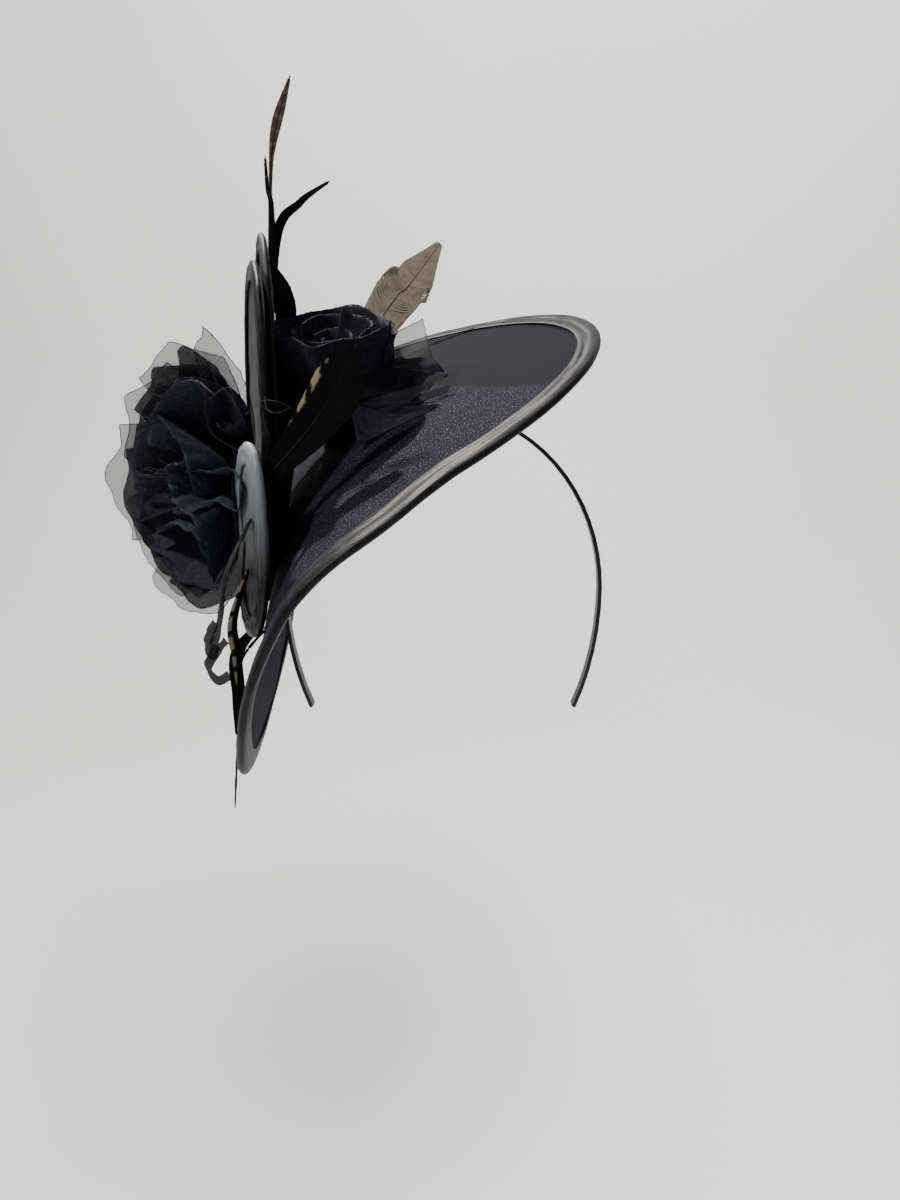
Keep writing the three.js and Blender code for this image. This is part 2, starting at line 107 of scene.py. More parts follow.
def putMesh(name, points, quads, uv, material):
    # points in mm, quads as rows of four, uv in mm for each corner of each quad
    mesh = bpy.data.meshes.new(name)
    mesh.vertices.add(len(points))
    mesh.vertices.foreach_set("co", (points * mmToM).astype(np.float32).ravel())
    mesh.loops.add(quads.size)
    mesh.loops.foreach_set("vertex_index", quads.astype(np.int32).ravel())
    mesh.polygons.add(len(quads))
    mesh.polygons.foreach_set("loop_start", np.arange(0, quads.size, 4, dtype=np.int32))
    mesh.polygons.foreach_set("use_smooth", np.ones(len(quads), bool))
    layer = mesh.uv_layers.new(name="cut")
    mesh.update(calc_edges=True)
    layer.data.foreach_set("uv", uv.astype(np.float32).ravel())
    mesh.materials.append(material)
    piece = bpy.data.objects.new(name, mesh)
    scene.collection.objects.link(piece)
    return piece


squareCorners = [(0, 0), (0, 1), (1, 1), (1, 0)]


def gridQuads(rows, columns, roundRows=False, roundColumns=False):
    # the four corners of every quad of a grid, whose last row or column may join the first
    i = np.arange(rows if roundRows else rows - 1)[:, None]
    j = np.arange(columns if roundColumns else columns - 1)[None, :]
    corners = [(i + down) % rows * columns + (j + along) % columns for down, along in squareCorners]
    return np.stack(corners, -1).reshape(-1, 4), i, j


def putGrid(name, grid, material, size, roundRows=False, roundColumns=False):
    # a grid of points as one surface, with its UV in mm of cloth: size is its (height, length)
    rows, columns = grid.shape[:2]
    quads, i, j = gridQuads(rows, columns, roundRows, roundColumns)
    height, length = size
    uv = np.stack([np.stack([(j + along) * length / j.size + 0 * i, (i + down) * height / i.size + 0 * j], -1)
                   for down, along in squareCorners], 2)
    return putMesh(name, grid.reshape(-1, 3), quads, uv.reshape(-1, 2), material)


def mergePoles(piece):
    # closes the poles and seams of a surface whose rows shrink to a point
    bm = bmesh.new()
    bm.from_mesh(piece.data)
    bmesh.ops.remove_doubles(bm, verts=bm.verts, dist=1e-6)
    bmesh.ops.recalc_face_normals(bm, faces=bm.faces)
    bm.to_mesh(piece.data)
    bm.free()


def giveWall(piece, thickness):
    # cloth gets its thickness on both sides of the surface
    wall = piece.modifiers.new("wall", "SOLIDIFY")
    wall.thickness = thickness * mmToM
    wall.offset = 0


def finishPiece(piece, slot, *nodes):
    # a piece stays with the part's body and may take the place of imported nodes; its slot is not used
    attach(piece, "root")
    if nodes:
        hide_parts(*nodes)


def clothSizes(grid):
    # the flat cut of a strip in metres: its tallest column, its longest row and its own area
    rowLengths = np.linalg.norm(np.diff(grid, axis=1), axis=-1).sum(1)
    columnLengths = np.linalg.norm(np.diff(grid, axis=0), axis=-1).sum(0)
    normals = np.cross(grid[1:, 1:] - grid[:-1, :-1], grid[1:, :-1] - grid[:-1, 1:])
    area = np.linalg.norm(normals, axis=-1).sum() / 2
    return columnLengths.max() * mmToM, rowLengths.max() * mmToM, area * mmToM ** 2


def putCloth(name, grid, material, thickness, slot, node, closed=False):
    # a sewn scrap with its wall and flat cut. Its area fills at least leastFilled of the cut, at most all.
    leastFilled = 0.31
    height, length, area = clothSizes(grid)
    piece = putGrid(name, grid, material, (height * 1000, length * 1000), False, closed)
    giveWall(piece, thickness)
    finishPiece(piece, slot, node)
    area = min(max(area, leastFilled * height * length), height * length)
    print(f"  sheet {piece.name}: {1000 * height:.0f} by {1000 * length:.0f} mm, {1e4 * area:.0f} cm2")


def repeatQuads(quads, count, pointsEach):
    # the same quads for each of many equal parts, whose points follow each other
    return (quads[None] + (np.arange(count) * pointsEach)[:, None, None]).reshape(-1, 4)


def putTubes(name, paths, radii, material, sides=4):
    # thin tubes with a flat cap at both ends: paths is (tubes, steps, 3), and radii is one number, one for
    # each step, or (tubes, steps)
    count, steps = paths.shape[:2]
    radii = np.broadcast_to(radii, (count, steps))
    along = unit(np.gradient(paths, axis=1))
    helper = np.where(np.abs(along[..., 2:]) > 0.8, np.array([1.0, 0, 0]), np.array([0, 0, 1.0]))
    sideways = unit(np.cross(along, helper))
    upwards = np.cross(sideways, along)
    turn = 2 * np.pi * np.arange(sides) / sides
    ring = (np.cos(turn)[:, None] * sideways[:, :, None, :] + np.sin(turn)[:, None] * upwards[:, :, None, :])
    points = paths[:, :, None, :] + radii[:, :, None, None] * ring
    quads = gridQuads(steps, sides, roundColumns=True)[0]
    caps = [[k, k + 1, sides - 2 - k, sides - 1 - k] for k in range(sides // 2 - 1)]
    first = np.array(caps)[:, ::-1]
    last = np.array(caps) + (steps - 1) * sides
    quads = np.vstack([quads, first, last])
    every = repeatQuads(quads, count, steps * sides)
    points = points.reshape(-1, 3)
    uv = np.stack([points[every][..., 0], points[every][..., 2]], -1).reshape(-1, 2)
    return putMesh(name, points, every, uv, material)


# Materials. UV is in millimetres of cloth, and Object coordinates are in metres.


def startMaterial(name):
    # a material with nothing in its node tree yet
    material = bpy.data.materials.new(name)
    material.use_nodes = True
    material.node_tree.nodes.clear()
    return material, material.node_tree


def finishMaterial(material, settings, links):
    # every piece ends in one Principled shader
    shader = addNode(material.node_tree, "BsdfPrincipled", {"IOR": 1.5, **settings}, links)
    addNode(material.node_tree, "OutputMaterial", {}, {0: shader.outputs[0]})
    return material


def clothPlace(tree):
    # the place on the flat cloth
    return addNode(tree, "UVMap", {"uv_map": "cut"}).outputs["UV"]


def objectPlace(tree):
    # the place on the whole part
    return addNode(tree, "TexCoord").outputs["Object"]


def clothLook(shine, sheen, sheenRoughness, tint):
    # the values that cloths share: dim highlights, and a sheen of the fibres at a grazing angle
    return {"Specular IOR Level": shine, "Sheen Weight": sheen, "Sheen Roughness": sheenRoughness,
            "Sheen Tint": toLinear(tint)}


def clouds(place, scale, detail=2.0, **more):
    # soft random patches from 0 to 1, each about 1 / scale across
    settings = {"Scale": scale, "Detail": detail, **more}
    return addNode(place.id_data, "TexNoise", settings, {"Vector": place}).outputs["Fac"]


def spread(value, low, high, toLow=0.0, toHigh=1.0):
    # the part of a value that lies between low and high, moved in proportion to toLow and toHigh
    settings = {"From Min": low, "From Max": high, "To Min": toLow, "To Max": toHigh}
    return addNode(value.id_data, "MapRange", settings, {"Value": value}).outputs[0]


def calculate(operation, *terms):
    # each term is a float or a socket
    numbers = {k: term for k, term in enumerate(terms) if isinstance(term, float)}
    sockets = {k: term for k, term in enumerate(terms) if k not in numbers}
    tree = next(iter(sockets.values())).id_data
    return addNode(tree, "Math", {"operation": operation, **numbers}, sockets).outputs[0]


def mixColours(share, dark, light):
    # from dark, a hex code or a socket, where share is 0, to light, a hex code, where it is 1
    fixed = {6: toLinear(dark)} if isinstance(dark, str) else {}
    links = {0: share} if fixed else {0: share, 6: dark}
    settings = {"data_type": "RGBA", 7: toLinear(light), **fixed}
    return addNode(share.id_data, "Mix", settings, links).outputs[2]


def waveScale(spacing):
    # a wave's period is 2 pi / (20 scale)
    return 2 * math.pi / (20 * spacing)


def weaveHeight(tree, place, spacing):
    # warp and weft as the product of two crossed sine waves
    settings = {"Scale": waveScale(spacing), "Distortion": 0.6, "Detail": 1.0, "Detail Scale": 0.4}
    bands = [addNode(tree, "TexWave", {"bands_direction": way, **settings}, {"Vector": place}).outputs["Fac"]
             for way in ("X", "Y")]
    return calculate("MULTIPLY", *bands)


def crepeMaterial():
    # polyester crepe stretched over buckram: a tight pebbly grain, with painted glints: bright specks of pale
    # base colour stand in for the light off single filaments.
    # The real pebbles are 0.3 mm across and are drawn at 0.8 mm, so that they show.
    look = {"ground": "#090910", "lit": "#161620", "paintedGlint": "#6c6d82", "far": "#0f0f14", "pebble": 0.8}
    material, tree = startMaterial("polyesterCrepe")
    place = clothPlace(tree)
    pebbles = clouds(place, 1 / look["pebble"], 3.0, Roughness=0.75)
    colour = mixColours(clouds(place, 0.02), look["ground"], look["lit"])
    # painted glints: the highest pebbles take a pale colour and a lower roughness
    paintedGlints = spread(pebbles, 0.57, 0.72)
    colour = mixColours(paintedGlints, colour, look["paintedGlint"])
    # painted shade: beyond a line on the brim the crepe takes one flat tone, without painted glints or grain
    far = addNode(tree, "Attribute", {"attribute_name": "farCloth"}).outputs["Fac"]
    colour = mixColours(far, colour, look["far"])
    rough = spread(paintedGlints, 0.0, 1.0, 0.8, 0.45)
    outsideShade = calculate("SUBTRACT", 1.0, far)
    bump = addNode(tree, "Bump", {"Distance": 0.0003}, {"Height": pebbles, "Strength": outsideShade}).outputs[0]
    links = {"Base Color": colour, "Roughness": rough, "Normal": bump}
    return finishMaterial(material, clothLook(0.03, 0.01, 0.4, "#9aa0b4"), links)


def satinMaterial(name, dark, light, roughness, shine, paintedTopHighlight=None):
    # acetate satin: long floats that lie one way, so it is smooth and shows fine ribs. Its soft streaks of
    # light are
    # painted sheen: streaks of a paler base colour. The real thread is 0.1 mm and is drawn at 0.6 mm.
    threadSpacing = 0.6
    material, tree = startMaterial(name)
    bias = {"Rotation": (0, 0, math.radians(45))}
    turned = addNode(tree, "Mapping", bias, {"Vector": clothPlace(tree)}).outputs[0]
    ribs = {"Scale": waveScale(threadSpacing), "Distortion": 1.5, "Detail": 2.0}
    threads = addNode(tree, "TexWave", ribs, {"Vector": turned}).outputs["Fac"]
    # painted sheen: the base colour runs from dark to light in soft streaks
    paintedSheenStreaks = clouds(turned, 0.12, 4.0, Distortion=0.4)
    colour = mixColours(spread(paintedSheenStreaks, 0.35, 0.7), dark, light)
    if paintedTopHighlight:
        # painted highlight: the piece is painted brighter towards its top, where the light falls on it:
        # lowest height, highest height and colour
        height = addNode(tree, "SeparateXYZ", {}, {0: objectPlace(tree)}).outputs[2]
        colour = mixColours(spread(height, paintedTopHighlight[0], paintedTopHighlight[1]), colour, paintedTopHighlight[2])
    bump = addNode(tree, "Bump", {"Strength": 0.25, "Distance": 0.0002}, {"Height": threads}).outputs[0]
    settings = {**clothLook(shine, 0.01, 0.3, "#aab0b8"), "Roughness": roughness, "Anisotropic": 0.5}
    return finishMaterial(material, settings, {"Base Color": colour, "Normal": bump})


def chiffonMaterial(name, dark, light, alpha=1.0, spacing=0.7):
    # crinkled silk chiffon or organza: matt twisted threads in an open plain weave that lights up at a
    # grazing angle. The real threads are 0.15 mm apart and are drawn at 0.7 mm.
    material, tree = startMaterial(name)
    place = clothPlace(tree)
    crinkle = clouds(place, 0.35, 5.0, Roughness=0.6)
    colour = mixColours(spread(crinkle, 0.35, 0.7), dark, light)
    height = calculate("MULTIPLY_ADD", weaveHeight(tree, place, spacing), 0.5, crinkle)
    bump = addNode(tree, "Bump", {"Strength": 0.3, "Distance": 0.0003}, {"Height": height}).outputs[0]
    settings = {**clothLook(0.12, 0.06, 0.35, "#8f98ab"), "Roughness": 0.75, "Alpha": alpha}
    return finishMaterial(material, settings, {"Base Color": colour, "Normal": bump})


def threadMaterial(name, colour, roughness=0.6):
    # loose polyester filament or a bare quill: a little shiny, with a slow change of tone along it
    material, tree = startMaterial(name)
    tone = spread(clouds(objectPlace(tree), 300.0), 0.0, 1.0, 0.55, 1.3)
    product = {"data_type": "RGBA", "blend_type": "MULTIPLY", 0: 1.0, 6: toLinear(colour)}
    tinted = addNode(tree, "Mix", product, {7: tone}).outputs[2]
    settings = {"Roughness": roughness, "Specular IOR Level": 0.1}
    return finishMaterial(material, settings, {"Base Color": tinted})


def featherMaterial(name, vane, bar, barLength, barShare, roughness=0.5, speckle=0.0, barFrom=0.0):
    # keratin barbs, dry and dull, with bars of another colour where the sine of the distance along the vane
    # is high. UV runs along the feather in mm, and across it from the quill.
    material, tree = startMaterial(name)
    place = clothPlace(tree)
    split = addNode(tree, "SeparateXYZ", {}, {0: place})
    moved = calculate("MULTIPLY_ADD", clouds(place, 0.25, 3.0), 7.0, split.outputs[0])
    waves = calculate("SINE", calculate("MULTIPLY", moved, 2 * math.pi / barLength))
    middle = 1 - 2 * barShare
    bars = spread(waves, middle - 0.25, middle + 0.25)
    fromQuill = calculate("ABSOLUTE", split.outputs[1])
    barred = calculate("MULTIPLY", bars, spread(fromQuill, barFrom - 0.5, barFrom + 0.5))
    dots = spread(clouds(place, 0.45), 0.56, 0.62, 0.0, speckle)
    colour = mixColours(calculate("MAXIMUM", barred, dots), vane, bar)
    settings = {"IOR": 1.55, "Roughness": roughness, "Specular IOR Level": 0.06}
    return finishMaterial(material, settings, {"Base Color": colour})


print("materials: cloth, thread and feather")
crepe = crepeMaterial()
# satin of the bindings, of the sails and of the headband, each with a dark colour and the light colour of its
# painted sheen streaks
bindingSatin = satinMaterial("biasBindingSatin", "#090a0c", "#18191d", 0.42, 0.1)
sailSatin = satinMaterial("sailSatin", "#0e0f13", "#1f2126", 0.5, 0.12)
# the short sail's satin has a painted highlight towards its top
shortSailSatin = satinMaterial("duchessSatin", "#0a0b0d", "#17191c", 0.34, 0.3, (-0.07, -0.018, "#6d7175"))
bandSatin = satinMaterial("headbandSatin", "#070709", "#101114", 0.4, 0.3)
# the roses' chiffon and a paler copy of it that paints light on the inner strips, their sheer organza, the
# ribbon's and the felt of the calyxes
ruffleChiffon = chiffonMaterial("silkChiffon", "#121219", "#242532")
litChiffon = chiffonMaterial("silkChiffonPaintedLit", "#1c1d26", "#353746")
organza = chiffonMaterial("silkOrganza", "#0d0d12", "#1b1c23", alpha=0.72)
sheerOrganza = chiffonMaterial("sheerOrganza", "#101115", "#1e1f25", alpha=0.38)
ribbonOrganza = chiffonMaterial("ribbonOrganza", "#08080b", "#17181d", alpha=0.85)
calyxFelt = chiffonMaterial("woolFelt", "#040406", "#09090c", spacing=1.4)
# sewing thread, the crushed threads of raw edges, and loose pale ones
stitchThread = threadMaterial("stitchThread", "#14151a")
rawThread = threadMaterial("rawEdgeThread", "#0c0d11")
paleThread = threadMaterial("paleThread", "#2c2e35")
# plumes: dyed black, barred, beige beyond a black edge, plain brown and speckled beige, and their quills
blackPlume = featherMaterial("dyedBlackPlume", "#020203", "#050507", 6, 0.25, 0.55)
barredPlume = featherMaterial("barredPlume", "#15130f", "#8d7f6c", 9, 0.75, barFrom=0.3)
edgedPlume = featherMaterial("edgedPlume", "#020203", "#7d725e", 13, 0.72, barFrom=8.2)
tallPlume = featherMaterial("tallPlume", "#41352f", "#574a42", 6, 0.3)
mottledPlume = featherMaterial("mottledPlume", "#8b8172", "#766850", 14, 0.02, 0.65, speckle=0.6)
blackQuill = threadMaterial("blackQuill", "#050506", 0.35)
brownQuill = threadMaterial("brownQuill", "#584c3e", 0.45)


# The panels: the brim and three sails, each an oval sheet with a satin binding folded over its rim.


brimSizes = {
    "length": 299, "width": 210, "thickness": 2.2, "binding": 10, "raisedEnd": (75, 11.5, 41.5),
    "startSlope": 22.4, "endSlope": 77.8, "straight": 88, "bendRadius": 121.5, "tailRun": 9,
    "roll": (2.3, 19.6, 18), "rollEases": (0.12, 0.6, 1), "backwardRun": -30.5, "dome": 8.9,
    "hollowAtRise": 18.7, "hollowAtDroop": 19, "riseSharpness": 6.4, "droopSharpness": 5, "eggShape": 0.06,
}
sailSizes = {
    "tall_sail_outer": {
        "x": -90.2, "y": -11, "z": -10, "halfHeight": 78, "halfDepth": 41, "heading": 17, "fullness": 0.25,
        "foot": 0, "tipForward": 7, "thickness": 1.2, "binding": 7},
    "tall_sail_inner": {
        "x": -85.5, "y": -7, "z": 6.5, "halfHeight": 75.5, "halfDepth": 33, "heading": 17, "fullness": -0.2,
        "foot": 0, "tipForward": 0, "thickness": 1.2, "binding": 7},
    "short_sail": {
        "x": -83.8, "y": -65, "z": -55, "halfHeight": 42, "halfDepth": 14, "heading": 35, "fullness": 0.3,
        "foot": -2, "tipForward": 0, "thickness": 1.6, "binding": 8},
}


def brimSurface(a, b):
    # The spine is a straight run, an arc and a straight end, from the raised tip (a = 1) to the drooping
    # one (a = -1). Across it the sheet is rolled by an eased angle, and dished: a part that is 0 at the rim.
    s = brimSizes
    travelled = s["length"] * (1 - a) / 2 + s["tailRun"] * np.maximum(-a, 0) ** 3
    start, end = math.radians(s["startSlope"]), math.radians(s["endSlope"])
    onArc = np.clip(travelled - s["straight"], 0, s["bendRadius"] * (end - start))
    slope = start + onArc / s["bendRadius"]
    before = np.minimum(travelled, s["straight"])
    after = travelled - before - onArc
    spineX = (s["raisedEnd"][0] - before * math.cos(start)
              - s["bendRadius"] * (np.sin(slope) - math.sin(start)) - after * np.cos(slope))
    spineZ = (s["raisedEnd"][2] - before * math.sin(start)
              - s["bendRadius"] * (math.cos(start) - np.cos(slope)) - after * np.sin(slope))
    raised = np.clip((a + 1) / 2, 0, 1)
    atDroop, overHead, atRise = s["roll"]
    low, middle, high = s["rollEases"]
    roll = np.radians(atDroop + (overHead - atDroop) * smooth(raised, low, middle)
                      + (atRise - overHead) * smooth(raised, middle, high))
    across = b * (1 + s["eggShape"] * a) * s["width"] / 2
    dish = (s["hollowAtRise"] * raised ** s["riseSharpness"]
            + s["hollowAtDroop"] * (1 - raised) ** s["droopSharpness"] - s["dome"])
    rise = across * np.sin(roll) + dish * (a * a + b * b - 1)
    return np.stack([spineX - rise * np.sin(slope),
                     s["raisedEnd"][1] + s["backwardRun"] * (1 - a) / 2 + across * np.cos(roll),
                     spineZ + rise * np.cos(slope)], -1)


def sailSurface(s, a, b):
    # a flat oval that stands on edge: fullness squares its tips, and its top may lean to the front
    heading = math.radians(s["heading"])
    back = b * s["halfDepth"] * (1 + s["fullness"] * a * a) - s["tipForward"] * np.maximum(a, 0) ** 2
    inwards = s["foot"] * np.maximum(-a, 0) ** 2
    return np.stack([s["x"] - back * math.sin(heading) + inwards * math.cos(heading),
                     s["y"] + back * math.cos(heading) + inwards * math.sin(heading),
                     s["z"] + a * s["halfHeight"]], -1)


panels = {"brim": {**brimSizes, "surface": brimSurface, "halfLength": brimSizes["length"] / 2,
                   "halfWidth": brimSizes["width"] / 2}}
for name, sizes in sailSizes.items():
    panels[name] = {**sizes, "surface": lambda a, b, s=sizes: sailSurface(s, a, b),
                    "halfLength": sizes["halfHeight"], "halfWidth": sizes["halfDepth"]}


def normalAt(surface, a, b):
    # the cross product of the surface's slopes along a and along b, at unit length
    step = 1e-3
    alongA = surface(a + step, b) - surface(a - step, b)
    alongB = surface(a, b + step) - surface(a, b - step)
    return unit(np.cross(alongA, alongB))


def overPanel(panel, a, b, height):
    # a place on a panel's middle surface, moved along its normal by height
    return panel["surface"](a, b) + normalAt(panel["surface"], a, b) * np.asarray(height)[..., None]


def rimPlace(panel, turn, inset):
    # the place at a turn round the rim, moved in from it by inset
    a, b = np.cos(2 * np.pi * turn), np.sin(2 * np.pi * turn)
    share = 1 - inset / np.hypot(a * panel["halfLength"], b * panel["halfWidth"])
    return a * share, b * share


def putPanel(name, material, slot, spokes, rings, uneven, farEdge=None):
    # both faces of the panel, from the middle of one out to the rim and back to the middle of the other
    panel = panels[name]
    share = np.concatenate([np.linspace(0, 1, rings), np.linspace(1, 0, rings)])[:, None]
    side = np.concatenate([np.ones(rings), -np.ones(rings)])[:, None]
    turn = (np.arange(spokes) / spokes)[None, :]
    rimA, rimB = rimPlace(panel, turn, 0.4)
    a, b = rimA * share, rimB * share
    fromRim = smooth(1 - share, 0, 0.12)
    wave = uneven * fromRim * rumple(len(name), a * 0.7 + 0.5, b * 0.6, 12, 1, 5)
    points = overPanel(panel, a, b, side * panel["thickness"] / 2 + wave)
    flat = np.stack([a * panel["halfLength"], b * panel["halfWidth"]], -1).reshape(-1, 2)
    quads = gridQuads(2 * rings, spokes, roundColumns=True)[0]
    piece = putMesh(name + "Cloth", points.reshape(-1, 3), quads, flat[quads].reshape(-1, 2), material)
    if farEdge is not None:
        # painted shade: 1 beyond a line that crosses the panel, where the crepe is smoother and painted one
        # flat tone without glints
        layer = piece.data.attributes.new("farCloth", "FLOAT", "POINT")
        layer.data.foreach_set("value", farEdge(points).astype(np.float32).ravel())
    mergePoles(piece)
    finishPiece(piece, slot, name)


bindingFold = {"height": 0.55, "ridge": 0.5, "pucker": 0.06, "slant": 0.11, "crease": 0.13}


def putBinding(name, spokes, puckers, seed, material=bindingSatin):
    # bias satin folded over the rim: two soft ridges on each face, and slanting puckers that die away
    # at the nose. The section is a closed loop: outer face, nose, lower face, and back along the inside.
    panel = panels[name]
    width, inner = panel["binding"], panel["thickness"] / 2 + gap
    # first and last row of each part: inset from the rim, angle of the outward way, and 1 outside
    parts = [((width, 90, 1), (0, 90, 1), 12), ((0, 60, 1), (0, -60, 1), 5),
             ((0, -90, 1), (width, -90, 1), 12), ((width, -90, 0), (0, -90, 0), 3),
             ((0, 90, 0), (width, 90, 0), 3)]
    section = np.concatenate([np.linspace(first, last, rows) for first, last, rows in parts])
    inset, nose, outside = section[:, :1], np.radians(section[:, 1:2]), section[:, 2:]
    turn = (np.arange(spokes) / spokes)[None, :]
    ridges = np.abs(np.sin(2 * np.pi * inset / width)) ** 0.7
    slant = puckers * turn + bindingFold["slant"] * inset
    fold = np.sin(2 * np.pi * slant + 2.2 * rumple(seed, turn, 0 * inset, 10, 3, 17))
    strength = 0.55 + 0.45 * rumple(seed + 1, turn, 0 * inset, 8, 2, 11)
    pucker = bindingFold["pucker"] * strength * fold * smooth(inset, 0.5, 4)
    crease = bindingFold["crease"] * rumple(seed + 2, turn, 2 * inset / width, 18, 4, 24)
    height = inner + outside * (bindingFold["height"] + bindingFold["ridge"] * ridges + pucker + crease)
    a, b = rimPlace(panel, turn, inset)
    rimA, rimB = rimPlace(panel, turn, 0)
    inA, inB = rimPlace(panel, turn, 2)
    outwards = unit(panel["surface"](rimA, rimB) - panel["surface"](inA, inB))
    grid = overPanel(panel, a, b, height * np.sin(nose)) + outwards * (height * np.cos(nose))[..., None]
    around = np.linalg.norm(np.diff(panel["surface"](rimA, rimB)[0], axis=0), axis=-1).sum()
    piece = putGrid(name + "Binding", grid, material, (2 * width + 4, around), True, True)
    finishPiece(piece, "black_satin", name + "_binding")


# length as a share of the spacing, how far it stands up and dips in, and its radius
stitch = {"share": 0.62, "lift": 0.28, "dip": 0.05, "radius": 0.17}


def putStitches(name, count, inset, seed, side=1):
    # a running stitch beside the binding: each stitch dips into the cloth at its ends
    panel = panels[name]
    t = np.linspace(0, 1, 5)[None, :]
    shift = np.random.default_rng(seed).normal(0, 0.12 / count, (count, 1))
    turn = (np.arange(count) / count)[:, None] + shift + stitch["share"] * t / count
    a, b = rimPlace(panel, turn, inset)
    lift = panel["thickness"] / 2 + stitch["lift"] * np.sin(np.pi * t) - stitch["dip"]
    paths = overPanel(panel, a, b, side * (lift + 0 * turn))
    label = name + "Stitches" + ("" if side > 0 else "Under")
    finishPiece(putTubes(label, paths, stitch["radius"], stitchThread), "black_satin")


# the line on the brim beyond which the crepe is painted as shaded
shadeEdgeLine = {"x": -14, "y": 2.2, "slope": -0.74, "turnX": 47, "turnY": -43.3, "turnSlope": 0.5, "soft": 1.2}


def inPaintedShade(points):
    # the edge of the painted shade runs from under the top rose forward to the front of the raised end, and
    # turns up there
    s = shadeEdgeLine
    x, y = points[..., 0], points[..., 1]
    line = np.maximum(s["y"] + s["slope"] * (x - s["x"]), s["turnSlope"] * (x - s["turnX"]) + s["turnY"])
    return smooth(y - line, -s["soft"], s["soft"])


print("panels: brim, sails, bindings and stitches")
putPanel("brim", crepe, "black_crepe", 320, 52, 0.35, inPaintedShade)
putPanel("tall_sail_outer", sailSatin, "black_crepe", 96, 20, 0.3)
putPanel("tall_sail_inner", sailSatin, "black_crepe", 96, 20, 0.25)
putPanel("short_sail", shortSailSatin, "black_crepe", 96, 20, 0.35)
putBinding("brim", 900, 64, 5)
putBinding("tall_sail_outer", 420, 44, 15)
# painted light: the inner sail's binding lies in shade and takes the paler sail satin, so that its lines show
putBinding("tall_sail_inner", 420, 40, 25, sailSatin)
putBinding("short_sail", 260, 26, 35, shortSailSatin)
putStitches("brim", 210, 10.6, 41)
putStitches("brim", 210, 10.6, 42, -1)


# The roses. A rose's own +Z is its axis, +X points to the wearer's left and +Y up.


roses = {
    "side": {"place": (-98, -14, -33), "heading": 40, "pitch": 0},
    "top": {"place": (-48, -2.5, -0.3), "heading": 12, "pitch": 68},
}
for rose in roses.values():
    turn, tip = math.radians(rose["heading"]), math.radians(rose["pitch"])
    axis = np.array([-math.sin(turn) * math.cos(tip), -math.cos(turn) * math.cos(tip), math.sin(tip)])
    sideways = np.array([math.cos(turn), -math.sin(turn), 0])
    rose["axes"] = np.stack([sideways, np.cross(axis, sideways), axis])


def placed(rose, local):
    # from the rose's own frame into the part's
    return np.array(roses[rose]["place"]) + local @ roses[rose]["axes"]


def polar(table, samples, closed):
    # a curve through rows of (angle in degrees, radius, height), smooth in the rose's own x, y and z
    rows = np.array(table, float)
    angle = np.radians(rows[:, 0])
    points = np.stack([rows[:, 1] * np.cos(angle), rows[:, 1] * np.sin(angle), rows[:, 2]], -1)
    if not closed:
        return throughPoints(points, samples)
    wrapped = throughPoints(np.vstack([points[-2:], points, points[:3]]), 3 * samples)
    first = np.argmin(np.linalg.norm(wrapped[:samples] - points[0], axis=1))
    last = len(wrapped) - 1 - np.argmin(np.linalg.norm(wrapped[::-1][:samples] - points[0], axis=1))
    return throughPoints(wrapped[first:last + 1:4], samples + 1)[:-1]


frayed = {"side": [], "top": []}
frayHairs = {"side": [], "top": []}


def fray(rose, edge, inwards, seed, hairs, length, ragged=0.12):
    # a thin roll of crushed threads along a raw edge, and loose hairs that leave it
    rng = np.random.default_rng(seed)
    frayed[rose].append(edge + rng.normal(0, ragged, edge.shape))
    at = rng.integers(1, len(edge) - 1, hairs)
    along = unit(edge[at] - edge[at - 1]) * rng.choice([-1, 1], (hairs, 1))
    out = -unit(inwards[at])
    way = unit(out * rng.uniform(0.3, 1, (hairs, 1)) + along * rng.uniform(0.1, 1.1, (hairs, 1))
               + rng.normal(0, 0.3, (hairs, 3)))
    reach = length * rng.uniform(0.35, 1.3, (hairs, 1, 1))
    t = np.linspace(0, 1, 6)[None, :, None]
    curl = rng.normal(0, 0.35, (hairs, 1, 3)) * t ** 2
    frayHairs[rose].append(edge[at][:, None, :] + reach * (way[:, None, :] * t + curl))


def putStrip(rose, seed, name, edge, node="inner_ruffle", rootShare=0.4, floor=8, bulge=2, ripple=1.2,
             flare=1, columns=170, material=ruffleChiffon, closed=False, hairs=30, hairLength=2.2):
    # a strip of cloth lofted from a gathered root up to a raw edge. It swells outwards by a half sine,
    # ripples more and more towards the edge, and the last of it turns outwards.
    top = polar(edge, columns, closed)
    root = np.stack([top[:, 0] * rootShare, top[:, 1] * rootShare, np.full(len(top), float(floor))], -1)
    v = np.linspace(0, 1, 20)[:, None]
    u = (np.arange(columns) / columns)[None, :]
    middle = root[None] * (1 - v[..., None]) + top[None] * v[..., None]
    out = unit(np.stack([top[:, 0], top[:, 1], 0 * top[:, 0]], -1))[None]
    waves = v ** 1.5 * rumple(seed, u, 0.25 * v, 12, 2, 8)
    push = bulge * np.sin(np.pi * v) + ripple * waves + flare * v ** 8
    grid = middle + out * push[..., None]
    grid[..., 2] += 0.5 * ripple * v * rumple(seed + 3, u, 0.2 * v, 10, 2, 7)
    world = placed(rose, grid)
    putCloth(f"{rose}Rose{name}", world, material, 0.5, "black_chiffon", f"{rose}_rose_{node}",
             closed)
    fray(rose, world[-1], world[-4] - world[-1], seed + 9, hairs, hairLength)


# the radius where petals start and the one where their bowl turns up, its reach from there and the power of
# its rise, the extra lift at the wearer's right, the floor, the gap between layers and what it gains over
# that reach, and the ripples' height
bowl = {"start": 12, "flat": 15, "rises": 50, "cup": 1.4, "rightLift": 14, "floor": 0.8, "layer": 1.5,
        "spread": 2.6, "ripple": 1.3}


